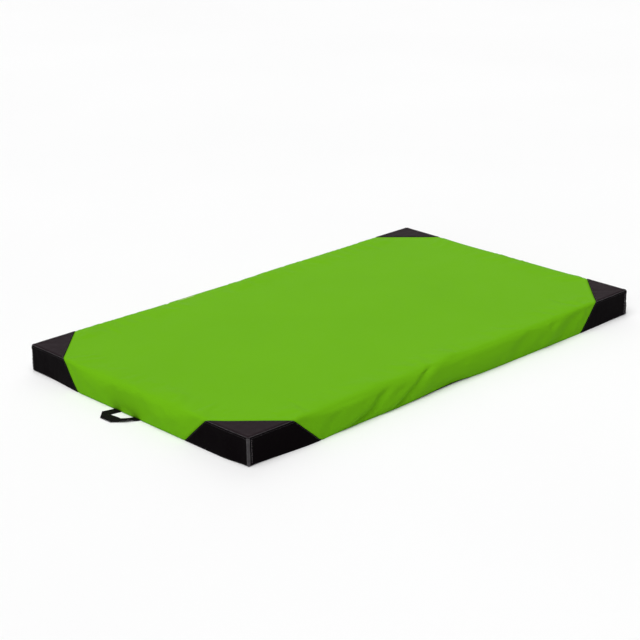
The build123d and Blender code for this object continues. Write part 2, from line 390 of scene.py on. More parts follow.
green, black, binding = greenVinyl(), blackVinyl(), bindingVinyl()
webbingWeave = wovenTape("woven webbing", (7, 4, 6), (21, 15, 18), 0.0016, 0.0021)
zipTapeWeave = wovenTape("zip tape", (24, 24, 26), (52, 52, 55), 0.0008, 0.0008)
underside = antiSlip()
firmFoam = foamCells("closed-cell foam", (58, 58, 60), (84, 84, 86), 700.0)
softFoam = foamCells("open-cell foam", (214, 200, 160), (236, 228, 200), 450.0)
nylon = hardFace("moulded nylon", (28, 28, 30), (44, 44, 46), 0.0, 0.30, 0.45, 300.0)
enamel = hardFace("black enamel", (34, 34, 36), (20, 20, 22), 0.4, 0.22, 0.42, 500.0)
nickel = hardFace("nickel plate", (205, 203, 198), (178, 176, 171), 1.0, 0.16, 0.34, 400.0)
darkThread = sewingThread("dark thread", (34, 30, 33), (66, 60, 64))
paleThread = sewingThread("pale thread", (120, 114, 118), (168, 162, 166))
print("materials made")


# the cover: one flat cross-shaped pattern, folded down over the foam
coverLook = {
    "capRadius": 0.0065, "midRadius": 0.029, "farRadius": 0.012, "radiusEase": 0.22, "baseRadius": 0.0026,
    "fabric": 0.0010, "seamDepth": 0.0014, "seamWidth": 0.0028, "puff": 0.0005, "puffAt": 0.0095,
    "wallStep": 0.0062, "topStep": 0.0105, "lengthStep": 0.0125,
    "capCrease": 0.0012, "frontBelly": 0.0042, "endBelly": 0.0030, "backBelly": 0.0022,
    "farDip": 0.0055, "swell": 0.0010, "smallSwell": 0.0005,
    # the front hem's tucks: x, half width and how far under
    "hemTucks": ((-0.13, 0.11, 0.0050), (-0.01, 0.08, 0.0065)),
}

# each fold of the slack front wall: x at rising heights, those heights, half width across the fold, and its
# own height, which is negative for a hollow. It fades out above its last place.
wallFolds = [
    ((-0.322, -0.243, -0.179, -0.140), (0.0, 0.048, 0.082, 0.104), 0.0125, -0.0082),
    ((-0.400, -0.347, -0.289, -0.231, -0.190), (0.0, 0.023, 0.045, 0.067, 0.090), 0.0170, 0.0062),
    ((-0.245, -0.165, -0.100), (0.0, 0.048, 0.090), 0.0190, 0.0030),
    ((-0.532, -0.471, -0.428, -0.400, -0.362), (0.0, 0.023, 0.038, 0.064, 0.086), 0.0125, -0.0068),
    ((-0.610, -0.532, -0.493, -0.452, -0.420), (0.0, 0.029, 0.042, 0.058, 0.074), 0.0160, 0.0052),
    ((-0.460, -0.400, -0.350, -0.300), (0.0, 0.030, 0.058, 0.085), 0.0130, 0.0022),
    ((-0.690, -0.640, -0.585), (0.0, 0.040, 0.080), 0.0180, -0.0022),
    ((0.560, 0.625, 0.700), (0.0, 0.050, 0.092), 0.0210, -0.0040),
    ((0.470, 0.530, 0.590), (0.0, 0.050, 0.088), 0.0230, 0.0032),
    ((0.300, 0.345, 0.395), (0.0, 0.050, 0.088), 0.0240, -0.0020),
]


# the back wall stays flat along the zip and round the vents: 1 where it may belly out, 0 where it may not
def backGive(x, depth):
    return ease((0.50 - depth) / 0.2) * ease((ventX[-3] - 0.04 - np.abs(x)) / 0.12)


# how far the front hem is tucked under, beside the folds: a sum of bells
def hemTuck(x):
    return sum(bell((x - at) / wide) * tuck for at, wide, tuck in coverLook["hemTucks"])


# distances in from the top edges on the flat pattern, negative once past an edge and down a wall
def patternInsets(p, q):
    return halfLength - np.abs(p), halfWidth - np.abs(q)


# how far the fabric stands out from the plain rounded box: a sum of bells along seams and folds
def coverRelief(p, q):
    look = coverLook
    dx, dy = patternInsets(p, q)
    depth = np.maximum(np.maximum(-dx, -dy), 0) / topHeight
    inX, inY = np.maximum(dx, 0), np.maximum(dy, 0)
    x = np.clip(p, -halfLength, halfLength)
    y = np.clip(q, -halfWidth, halfWidth)
    seam = (dx + dy - capLeg) / root2
    out = -look["seamDepth"] * bell(seam / look["seamWidth"])
    out = out + look["puff"] * bell((np.abs(seam) - look["puffAt"]) / 0.005)

    # a cap's three panels pinch in where they are sewn along its edges
    onCap = ease(-seam / 0.01)
    for edge in (dx, dy):
        out = out + onCap * look["puff"] * 1.6 * bell((np.abs(edge) - 0.012) / 0.006)
    crease = bell(((inX - inY) - 0.012) / 0.010) * ease((inX + inY) / 0.03)
    out = out - look["capCrease"] * onCap * crease * (depth == 0)

    # walls belly out between the top and the floor, and a little more in the middle of each side
    away = ease((inX + inY - capLeg * 0.4) / 0.35)
    belly = np.sin(np.pi * np.clip(depth, 0, 1)) ** 1.3
    front, back, ends = q < -halfWidth, q > halfWidth, np.abs(p) > halfLength
    wave = 1 + 0.35 * np.sin(5.3 * x + 1.1) + 0.25 * np.sin(11.7 * x + 2.0)
    out = out + belly * away * (look["frontBelly"] * front * wave + look["endBelly"] * ends
                                + look["backBelly"] * back * backGive(x, depth))

    # the front wall's slack folds lean along it, and run out over the soft top edge
    rise = topHeight * np.where(front, 1 - depth, 1.0) + np.where(front, 0, inY)
    nearTop = front | ((y < 0) & (depth == 0) & (inY < 0.08))
    for places, heights, width, size in wallFolds:
        slope = np.interp(rise + 0.01, heights, places) - np.interp(rise - 0.01, heights, places)
        across = (x - np.interp(rise, heights, places)) / np.sqrt(1 + np.square(slope / 0.02))
        fade = plateau(rise, 0.003, 0.016, heights[-1] + 0.016, 0.034)
        out = out + nearTop * size * bell(across / width) * fade
    out = out - front * hemTuck(x) * ease((depth - 0.62) / 0.33)

    # the top: nearly flat, lower along the far edge, with very shallow swells
    flat = (depth == 0) * ease((inX + inY) / 0.2)
    out = out - flat * look["farDip"] * bell((x + 0.24) / 0.26) * bell((halfWidth - y) / 0.10)
    out = out + flat * look["swell"] * np.sin(3.1 * x + 0.6) * np.sin(4.4 * y + 0.3)
    return out + flat * look["smallSwell"] * np.sin(9.3 * x - 1.0) * np.sin(8.1 * y + 1.7)


# The point on the cover for a place on the flat pattern. The pattern is folded over a plain box's top edges.
# Each point then goes to the nearest point of a box shrunk by the edge radius, and out again the same way by
# that radius plus the relief.
def coverPoint(p, q, hollow=False):
    look = coverLook
    p, q = np.broadcast_arrays(np.asarray(p, float), np.asarray(q, float))
    dx, dy = patternInsets(p, q)
    x = np.clip(p, -halfLength, halfLength)
    y = np.clip(q, -halfWidth, halfWidth)
    z = topHeight - np.maximum(np.maximum(-dx, -dy), 0)
    x, y = seamWander(p, q, x, y, 1 - z / topHeight)
    inward = np.maximum(dx, 0) + np.maximum(dy, 0)
    # the far edges are pulled tighter than the near ones
    nearness = ease((0.2 - x / halfLength - y / halfWidth) / 1.6)
    soft = look["farRadius"] + (look["midRadius"] - look["farRadius"]) * nearness
    topRadius = look["capRadius"] + (soft - look["capRadius"]) * ease((inward - capLeg) / look["radiusEase"])
    radius = np.where(z > topHeight / 2, topRadius, look["baseRadius"])
    core = np.stack([
        np.clip(x, radius - halfLength, halfLength - radius),
        np.clip(y, radius - halfWidth, halfWidth - radius),
        np.clip(z, radius, topHeight - radius),
    ], -1)
    way = unit(np.stack([x, y, z], -1) - core)
    out = coverRelief(p, q)
    point = core + way * (radius + (np.minimum(out, 0) if hollow else out))[..., None]
    point[..., 2] += hemLift(x, y) * ease(1 - z / (0.5 * topHeight))
    return bowOut(point), way


# The stuffed mat bows out along the front and the near end, most at the floor: the outward shift is a bell
# or a plateau along the wall, fading inwards from it and up it.
bowLook = {
    "front": 0.008, "frontSpan": (-1.0, 0.22, 0.02, 0.26),
    "flare": 0.007, "flareAt": -0.72, "flareWide": 0.10,
    "right": 0.005, "rightSpan": (-0.05, 0.3, 0.95, 0.3),
    "end": 0.011, "endSpan": (-0.605, 0.13, 0.50, 0.22), "reach": 0.22, "atTop": 0.30,
}


def bowOut(points):
    look = bowLook
    x, y, z = points[..., 0], points[..., 1], points[..., 2]
    low = look["atTop"] + (1 - look["atTop"]) * ease(1.05 - z / topHeight)
    front = look["front"] * plateau(x, *look["frontSpan"]) + look["right"] * plateau(x, *look["rightSpan"])
    front = front + look["flare"] * bell((x - look["flareAt"]) / look["flareWide"]) * (1 - z / topHeight)
    end = look["end"] * plateau(y, *look["endSpan"])
    moved = np.array(points)
    moved[..., 1] -= front * low * ease((-y - halfWidth + look["reach"]) / look["reach"])
    moved[..., 0] -= end * low * ease((-x - halfLength + look["reach"]) / look["reach"])
    return moved


# Each seam runs a little off true on its wall: its corner, its wall (0 end, 1 long), and its shift towards
# the corner at the top and at the floor, in a straight line between them.
seamShifts = [
    (-1, -1, 0, -0.006, -0.008), (-1, -1, 1, 0.000, -0.009),
    (-1, 1, 0, 0.000, 0.010), (1, -1, 1, 0.002, 0.010),
]


def seamWander(p, q, x, y, depth):
    dx, dy = patternInsets(p, q)
    near = bell((dx + dy - capLeg) / root2 / 0.060)
    for sx, sy, wall, high, low in seamShifts:
        here = near * (p * sx > 0) * (q * sy > 0) * (high + (low - high) * depth)
        if wall:
            x = x + sx * here * bell(np.maximum(dy, 0) / 0.03)
        else:
            y = y + sy * here * bell(np.maximum(dx, 0) / 0.03)
    return x, y


# the hem rises a little at the four corners, and over the handles where they come out: a bell round each
def hemLift(x, y):
    corner = np.hypot(halfLength - np.abs(x), halfWidth - np.abs(y))
    lift = 0.0035 * bell(corner / 0.10)
    for low, high in (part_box("left_handle_loop"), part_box("right_handle_loop")):
        middle, half = (low.y + high.y) / 2, (high.y - low.y) / 2
        side = np.sign(low.x + high.x)
        legs = bell((np.abs(y - middle) - (half - webbing["width"] / 2)) / 0.021)
        lift = lift + 0.0022 * legs * (side * x > halfLength - 0.02)
    return lift


webbing = {
    "width": 0.038, "thickness": 0.0017, "foldRadius": 0.0011, "twist": math.radians(21),
    "twistSpan": (0.019, 0.034, 0.084, 0.044), "cornerLift": 0.0035, "arch": 0.0012, "archAt": 0.05,
    "bar": 0.094, "slant": 0.062, "farShift": 0.012, "nearShift": 0.028, "drop": 0.018, "clear": 0.0002,
    "hingeHalf": 0.0030,
}

# grid lines of the pattern: evenly cut runs between the stops, alike about the slanted seams on both sides
zipLow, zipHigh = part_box("zip_tape_lower")[1].z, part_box("zip_tape_upper")[0].z
eyeletLow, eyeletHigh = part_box("vent_eyelets")
eyeletZ = (eyeletLow.z + eyeletHigh.z) / 2
eyeletHole, ventPitch, windowGap = 0.0055, 0.06, 0.003
flange = (eyeletHigh.z - eyeletLow.z) / 2
ventRow = [eyeletHigh.x - flange - ventPitch * k for k in (0, 1, 2)]
ventX = sorted([-x for x in ventRow] + ventRow)
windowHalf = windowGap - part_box("zip_bottom_stop")[0].x
windowLow, windowHigh = zipLow - windowGap, zipHigh + windowGap
wallStep, topStep, lengthStep = coverLook["wallStep"], coverLook["topStep"], coverLook["lengthStep"]
depths = ladder([0, topHeight - eyeletZ - eyeletHole, topHeight - eyeletZ, topHeight - eyeletZ + eyeletHole,
                 topHeight - windowHigh, topHeight - windowLow, topHeight], wallStep)
between = np.concatenate([ladder([0, 0.02], wallStep), ladder([0.02, capLeg - 0.02], topStep)[1:],
                          ladder([capLeg - 0.02, capLeg], wallStep)[1:]])
insets = np.unique(np.round(np.concatenate([-depths, between, capLeg + depths]), 7))
innerX, innerY = halfLength - insets[-1], halfWidth - insets[-1]
stopsX = sorted([-innerX, innerX, -windowHalf, windowHalf] +
                [x + step for x in ventX for step in (-eyeletHole, 0, eyeletHole)])


# the pattern's lines one way: the insets in from both edges, and even steps between
def patternLines(half, stops):
    return np.unique(np.round(np.concatenate([insets - half, ladder(stops, lengthStep), half - insets]), 7))


linesX, linesY = patternLines(halfLength, stopsX), patternLines(halfWidth, [-innerY, innerY])
patternP, patternQ = np.meshgrid(linesX, linesY, indexing="ij")
coverPoints = coverPoint(patternP, patternQ)[0]
patternUv = np.stack([patternP, patternQ], -1)
insetP, insetQ = patternInsets(patternP, patternQ)
seamSide = insetP + insetQ - capLeg
tiny = 1e-6
print(f"cover pattern: {patternP.shape[0]} x {patternP.shape[1]} lines")


# everything inside the slanted seams, with the zip's window and the vents' holes cut out
def greenSheet():
    keep = (seamSide > -tiny) & ((insetP >= -tiny) | (insetQ >= -tiny))
    middleP = (patternP[:-1, :-1] + patternP[1:, 1:]) / 2
    middleQ = (patternQ[:-1, :-1] + patternQ[1:, 1:]) / 2
    middleZ = topHeight - (middleQ - halfWidth)
    onBack = middleQ > halfWidth
    drop = onBack & (np.abs(middleP) < windowHalf) & (middleZ > windowLow) & (middleZ < windowHigh)
    for x in ventX:
        drop |= onBack & (np.abs(middleP - x) < eyeletHole) & (np.abs(middleZ - eyeletZ) < eyeletHole)
    quads, tris = patchFaces(keep, drop)
    return makePiece("green_cover_sheet", coverPoints, quads, tris, patternUv)


# cloth simulation of the green sheet, held along its seams and hem: fabric cut slightly large settles
clothLook = {
    "frames": 14, "slack": 0.006, "cap": 0.006, "band": 0.16, "inward": 1 / 6,
    "fabric": {
        "quality": 6, "mass": 0.35, "tension_stiffness": 40, "compression_stiffness": 40,
        "shear_stiffness": 12, "bending_stiffness": 2.0, "tension_damping": 8, "air_damping": 4,
        "pin_stiffness": 2.0, "use_pressure": True, "uniform_pressure_force": 0.35,
    },
}


# How firmly each point is held, 0 to 1: fully on an open edge, which has one face, beside the seams, on the
# back wall's flat parts, and on the top further in than the band.
def sewnHold(mesh, place):
    band = clothLook["band"]
    dx, dy = patternInsets(place[:, 0], place[:, 1])
    uses = np.bincount(readAll(mesh.loops, "edge_index", 1, np.int32))
    rim = np.unique(readAll(mesh.edges, "vertices", 2, np.int32)[uses == 1])
    hold = ease((np.minimum(dx, dy) - 0.5 * band) / (0.5 * band))
    hold = np.maximum(hold, ease((0.014 - (dx + dy - capLeg) / root2) / 0.010))
    backWall = (dy < 0) & (place[:, 1] > 0)
    hold = np.maximum(hold, backWall * (1 - backGive(place[:, 0], -dy / topHeight)))
    hold[rim] = 1.0
    return hold, rim


# the moves are capped, and those inwards are cut to a small share so that nothing sinks into the foam
def settleSheet(piece):
    look = clothLook
    mesh = piece.data
    start = readAll(mesh.vertices, "co", 3)
    place = np.zeros((len(mesh.vertices), 2))
    place[readAll(mesh.loops, "vertex_index", 1, np.int32)] = readAll(mesh.uv_layers["cut"].data, "uv", 2)
    hold, rim = sewnHold(mesh, place)
    group = piece.vertex_groups.new(name="sewn")
    for level in np.linspace(0.1, 1.0, 10):
        group.add(np.where(np.abs(hold - level) <= 0.05)[0].tolist(), float(level), "REPLACE")

    cloth = piece.modifiers.new("cloth", "CLOTH")
    for setting, value in look["fabric"].items():
        setattr(cloth.settings, setting, value)
    cloth.settings.vertex_group_mass = "sewn"
    cloth.settings.shrink_min = -look["slack"]
    cloth.settings.effector_weights.gravity = 0
    cloth.collision_settings.use_collision = False
    scene = bpy.context.scene
    scene.frame_start, scene.frame_end = 1, look["frames"]
    cloth.point_cache.frame_start, cloth.point_cache.frame_end = 1, look["frames"]
    for step in range(1, look["frames"] + 1):
        scene.frame_set(step)
    evaluated = piece.evaluated_get(bpy.context.evaluated_depsgraph_get())
    move = readAll(evaluated.to_mesh().vertices, "co", 3) - start
    evaluated.to_mesh_clear()
    piece.modifiers.clear()
    scene.frame_set(1)
    size = np.linalg.norm(move, axis=1)
    move *= np.minimum(1, look["cap"] / np.maximum(size, 1e-9))[:, None]
    move[rim] = 0
    outward = coverPoint(place[:, 0], place[:, 1])[1]
    into = np.minimum((move * outward).sum(1), 0)
    move -= outward * (into * (1 - look["inward"]))[:, None]
    mesh.vertices.foreach_set("co", (start + move).ravel())
    mesh.update()
    piece.vertex_groups.clear()
    print(f"cloth settled: mean move {size.mean() * 1000:.2f} mm, largest {size.max() * 1000:.1f} mm")


sheet = greenSheet()
settleSheet(sheet)
thicken(sheet, coverLook["fabric"])
dress(sheet, green, replaced=["green_cover"])
print("green sheet made")


# a corner cap's three panels, from the same pattern: a triangle on top and a slanted piece of each wall
def capPanels():
    for name, (sx, sy) in corners.items():
        here = (seamSide < tiny) & (patternP * sx > 0) & (patternQ * sy > 0)
        regions = {
            "top": (insetP > -tiny) & (insetQ > -tiny),
            "end": (insetP < tiny) & (insetQ > -tiny),
            "side": (insetQ < tiny) & (insetP > -tiny),
        }
        for part, region in regions.items():
            quads, tris = patchFaces(here & region)
            node = f"{name}_corner_{part}"
            panel = makePiece(f"{node}_panel", coverPoints, quads, tris, patternUv)
            thicken(panel, coverLook["fabric"] * 1.2)
            dress(panel, black, replaced=[node])


capPanels()
print("corner caps made")


# A tube of a round or flattened section carried along a path: each ring is the path's point plus the side
# and up directions times the cosine and sine of the ring's angle.
def carriedTube(path, up, halfWide, halfHigh, around=8):
    along = unit(np.gradient(path, axis=0))
    side = unit(np.cross(along, up))
    turn = np.linspace(0, 2 * np.pi, around, endpoint=False)
    ring = (path[:, None] + side[:, None] * (halfWide * np.cos(turn))[None, :, None]
            + up[:, None] * (halfHigh * np.sin(turn))[None, :, None])
    points = np.concatenate([ring.reshape(-1, 3), path[:1] - along[:1] * halfHigh * 0.4,
                             path[-1:] + along[-1:] * halfHigh * 0.4])
    return points, gridQuads(len(path), around, closed=True), tubeEnds(len(path), around)


# several tubes or stitches joined into one mesh, each one's faces numbered after the points before it
def joined(parts):
    points, quads, tris, count = [], [], [], 0
    for somePoints, someQuads, someTris in parts:
        points.append(somePoints)
        quads.append(someQuads + count)
        tris.append(someTris + count)
        count += len(somePoints)
    return np.concatenate(points), np.concatenate(quads), np.concatenate(tris)


# Stitches: small ellipsoids, long along the seam. Each is its centre + along a cos u + side b sin u cos v
# + up b sin u sin v, in three rings of six with two tips.
stitchLook = {"pitch": 0.0062, "length": 0.0044, "thread": 0.00055}


def stitchRow(path, up):
    look = stitchLook
    lengths = np.concatenate([[0], np.cumsum(np.linalg.norm(np.diff(path, axis=0), axis=1))])

    def pointAt(at, values):
        return np.stack([np.interp(at, lengths, values[:, k]) for k in range(3)], -1)

    count = max(2, int(lengths[-1] / look["pitch"]))
    at = (np.arange(count) + 0.5) * lengths[-1] / count
    centre = pointAt(at, path)
    ahead = unit(pointAt(at + 0.0008, path) - pointAt(at - 0.0008, path))
    side = unit(np.cross(ahead, pointAt(at, up)))
    raised = np.cross(side, ahead)
    u = np.array([0.25, 0.5, 0.75]) * np.pi
    v = np.arange(6) * np.pi / 3
    grid = (ahead[:, None, None] * (look["length"] / 2 * np.cos(u))[None, :, None, None]
            + side[:, None, None] * (look["thread"] * np.sin(u)[:, None] * np.cos(v))[None, :, :, None]
            + raised[:, None, None] * (look["thread"] * np.sin(u)[:, None] * np.sin(v))[None, :, :, None])
    body = (centre[:, None, None] + grid).reshape(count, 18, 3)
    tips = np.stack([centre + ahead * look["length"] / 2, centre - ahead * look["length"] / 2], 1)
    points = np.concatenate([body, tips], 1).reshape(-1, 3)
    shift = (np.arange(count) * 20)[:, None, None]
    quads, tris = gridQuads(3, 6, closed=True)[:, ::-1], tubeEnds(3, 6)[:, ::-1]
    return points, (quads[None] + shift).reshape(-1, 4), (tris[None] + shift).reshape(-1, 3)


# a line on the flat pattern laid on the cover, lifted by a small height
def coverLine(p, q, lift):
    point, out = coverPoint(p, q)
    return point + out * lift, out


# a row of stitches along a line on the flat pattern, half sunk in the fabric
def stitchAlong(p, q):
    return stitchRow(*coverLine(p, q, stitchLook["thread"] * 0.5))


seamLook = {
    "ridge": 0.0013, "ridgeHigh": 0.0010, "bindingHalf": 0.0072, "bindingThick": 0.0009,
    "stitchIn": 0.0042, "edgeDrop": 0.0075, "uprightIn": 0.0145,
}


# each cap's raised seams along its top edges, and its rows of stitches, as lines p, q of the flat pattern
def cornerSeams():
    look = seamLook
    run = np.linspace(0.004, capLeg - 0.001, 60)
    slant = np.linspace(0.004 - topHeight, capLeg + topHeight - 0.004, 260)
    inside = look["stitchIn"] / root2
    fall = np.linspace(0.010, topHeight - 0.006, 40)
    still, drop = 0 * run, look["edgeDrop"]
    for name, (sx, sy) in corners.items():
        ridges = []
        for p, q in ((sx * (halfLength - still), sy * (halfWidth - run)),
                     (sx * (halfLength - run), sy * (halfWidth - still))):
            path, up = coverLine(p, q, look["ridgeHigh"] * 0.35)
            ridges.append(carriedTube(path, up, look["ridge"], look["ridgeHigh"]))
        # down one wall, across the top and down the other wall on the cap's side, then below the top edges
        darkRows = [
            stitchAlong(sx * (halfLength - (slant - inside)), sy * (halfWidth - (capLeg - slant - inside))),
            stitchAlong(sx * (halfLength - run), sy * (halfWidth + drop) + still),
            stitchAlong(sx * (halfLength + drop) + still, sy * (halfWidth - run)),
        ]
        # beside the upright seam, on the long wall
        paleRow = stitchAlong(sx * (halfLength - look["uprightIn"]) + 0 * fall, sy * (halfWidth + fall))
        sewn = {"seam_ridges": (ridges, binding), "cap_stitches": (darkRows, darkThread),
                "upright_stitches": ([paleRow], paleThread)}
        for kind, (shapes, material) in sewn.items():
            dress(makePiece(f"{name}_{kind}", *joined(shapes)), material)


# The strip over an upright corner: along one wall and round onto the other, carried straight down. Its
# section is a closed loop, thinner towards its edges, and two sines wrinkle it on the way down.
def cornerBindings():
    look = seamLook
    reach = look["bindingHalf"]
    around = np.linspace(-1, 1, 25)
    down = np.linspace(0.0035, topHeight - 0.0015, 34)
    inP, inQ = np.maximum(around, 0) * reach, np.maximum(-around, 0) * reach
    rim = 1 - 0.75 * ease((np.abs(around) - 0.72) / 0.28)
    fall = down[:, None]
    for name, (sx, sy) in corners.items():
        p = np.where(around >= 0, sx * (halfLength - inP), sx * (halfLength + fall))
        q = np.where(around >= 0, sy * (halfWidth + fall), sy * (halfWidth - inQ))
        base, out = coverPoint(p, q)
        wrinkle = 0.00025 * np.sin(fall * 190 + sx) + 0.0002 * np.sin(fall * 420 + 2 * sy)
        outer = base + out * (look["bindingThick"] * rim + wrinkle * rim)[..., None]
        inner = base - out * 0.0004
        strip = makePiece(f"{name}_binding_strip", np.stack([outer, inner]), slabQuads(*p.shape))
        faceOutwards(strip)
        dress(strip, binding, replaced=[f"{name}_corner_binding"])


cornerSeams()
cornerBindings()
print("seams, bindings and stitches made")


# The underside: the box's lower rounding carried on from the walls' hem to the floor, as in coverPoint, and
# a second layer above it.
baseLook = {"tuckedIn": 0.0022, "edges": (0, 0.0006, 0.0014, 0.0022, 0.0045), "rimTo": 0.05, "step": 0.011}


def baseSheet():
    look = baseLook
    radius = coverLook["baseRadius"]
    steps = np.concatenate([look["edges"], ladder([0.008, look["rimTo"]], look["step"]), [0.1]])
    lines = []
    for half, count in ((halfLength, 60), (halfWidth, 40)):
        middle = np.linspace(0.1 - half, half - 0.1, count)
        lines.append(np.unique(np.concatenate([steps - half, middle, half - steps]).round(7)))
    gx, gy = np.meshgrid(*lines, indexing="ij")
    core = np.stack([np.clip(gx, radius - halfLength, halfLength - radius),
                     np.clip(gy, radius - halfWidth, halfWidth - radius), np.full_like(gx, radius)], -1)
    way = unit(np.stack([gx, gy, np.zeros_like(gx)], -1) - core)
    under = core + way * radius
    under[..., :2] *= np.array([1 - look["tuckedIn"] / halfLength, 1 - look["tuckedIn"] / halfWidth])
    under[..., 1] += hemTuck(gx) * ease((-gy - halfWidth + look["rimTo"]) / look["rimTo"])
    edge = np.minimum(halfLength - np.abs(gx), halfWidth - np.abs(gy))
    under[..., 2] += hemLift(gx, gy) * ease(1 - edge / look["rimTo"])
    under[..., 2] = np.maximum(under[..., 2], 0)
    under = bowOut(under)
    above = under - way * (baseTop - 0.0002)
    uv = np.stack([gx, gy], -1)
    piece = makePiece("anti_slip_base", np.stack([under, above]), slabQuads(*gx.shape)[:, ::-1],
                      uv=np.stack([uv, uv]))
    faceOutwards(piece)
    dress(piece, underside, replaced=["base_sheet"])


# Foam under the fabric: a gap inside the cover, following its hollows but not its bulges. The cut faces
# between blocks stay flat, drawn in a little further than the gap.
foamLook = {"gap": 0.0032, "cutIn": 0.001}


# the foam's own skin: the cover's point less its outward direction times the gap, at the wanted height
def foamSkin(p, q, z, top, wall=False):
    x, y = np.clip(p, -halfLength, halfLength), np.clip(q, -halfWidth, halfWidth)
    height = np.asarray(z, float) + 0 * x
    fall = topHeight - height
    onEnd, onSide = np.abs(x) >= halfLength - tiny, np.abs(y) >= halfWidth - tiny
    wallP = np.where(onEnd, np.sign(x) * (halfLength + fall), x)
    wallQ = np.where(~onEnd & onSide, np.sign(y) * (halfWidth + fall), y)
    side, way = coverPoint(wallP, wallQ, hollow=True)
    side = side - way * foamLook["gap"]
    if wall:
        side[..., 2] = np.minimum(z, side[..., 2]) if top else z
        return side
    if top:
        lid, up = coverPoint(x, y, hollow=True)
        return lid - up * foamLook["gap"]
    reachX = halfLength - foamLook["gap"] - foamLook["cutIn"]
    reachY = halfWidth - foamLook["gap"] - foamLook["cutIn"]
    cut = bowOut(np.stack([np.clip(x, -reachX, reachX), np.clip(y, -reachY, reachY), height], -1))
    side[..., 2] = z
    isWall = (np.abs(wallP) > halfLength) | (np.abs(wallQ) > halfWidth)
    return np.where(isWall[..., None], side, cut)


# a foam block: one closed skin of two faces, and rings up the walls between them
def foamBlock(name, node, material):
    low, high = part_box(node)
    around = np.unique(np.concatenate([linesX[::2], [-halfLength, halfLength]]))
    inner = np.unique(np.concatenate([linesY[::2], [-halfWidth, halfWidth]]))
    around, inner = around[np.abs(around) <= halfLength], inner[np.abs(inner) <= halfWidth]
    outer = high.z > topHeight - 0.01
    levels = np.concatenate([np.linspace(low.z, high.z, 7), [low.z + 0.001, high.z - 0.001]])
    levels = np.unique(levels.round(6))[1:-1]
    p, q = np.meshgrid(around, inner, indexing="ij")
    lid, floor = foamSkin(p, q, high.z, outer), foamSkin(p, q, low.z, False)
    size = p.size
    ids = np.arange(size).reshape(p.shape)
    ring = np.concatenate([ids[:-1, 0], ids[-1, :-1], ids[:0:-1, -1], ids[0, :0:-1]])
    spots = np.broadcast_arrays(p.ravel()[ring], q.ravel()[ring], levels[:, None])
    walls = foamSkin(*spots, outer, wall=True)
    points = np.concatenate([floor.reshape(-1, 3), lid.reshape(-1, 3), walls.reshape(-1, 3)])
    face = gridQuads(*p.shape)
    rows = [2 * size + k * ring.size + np.arange(ring.size) for k in range(levels.size)]
    rows = [ring, *rows, ring + size]
    band = np.concatenate([np.stack([lower, np.roll(lower, -1), np.roll(upper, -1), upper], -1)
                           for lower, upper in zip(rows, rows[1:])])
    piece = makePiece(name, points, np.concatenate([face[:, ::-1], face + size, band]))
    faceOutwards(piece)
    dress(piece, material, replaced=[node])


baseSheet()
foamBlock("foam_base_block", "foam_base_layer", firmFoam)
foamBlock("foam_core_block", "foam_core", softFoam)
foamBlock("foam_top_block", "foam_top_layer", softFoam)
print("base sheet and foam made")


# folds a sheet back over itself at a line, round a half cylinder: a point's distance past the line is wound
# round the cylinder, and what is left over runs back the other way on top
def foldOver(points, origin, past, radius):
    past = np.array([*past, 0.0]) / np.linalg.norm(past)
    reach = (points - np.array([*origin, 0.0])) @ past + np.pi * radius / 2
    turn = np.clip(reach / radius, 0, np.pi)
    beyond = np.maximum(reach - np.pi * radius, 0)
    flat = points - past * np.maximum(reach, 0)[..., None]
    lift = np.where(reach > 0, points[..., 2], 0)
    folded = flat + past * (radius * np.sin(turn) - beyond - lift * np.sin(turn))[..., None]
    folded[..., 2] = np.where(reach > 0, radius * (1 - np.cos(turn)) + lift * np.cos(turn), points[..., 2])
    return folded


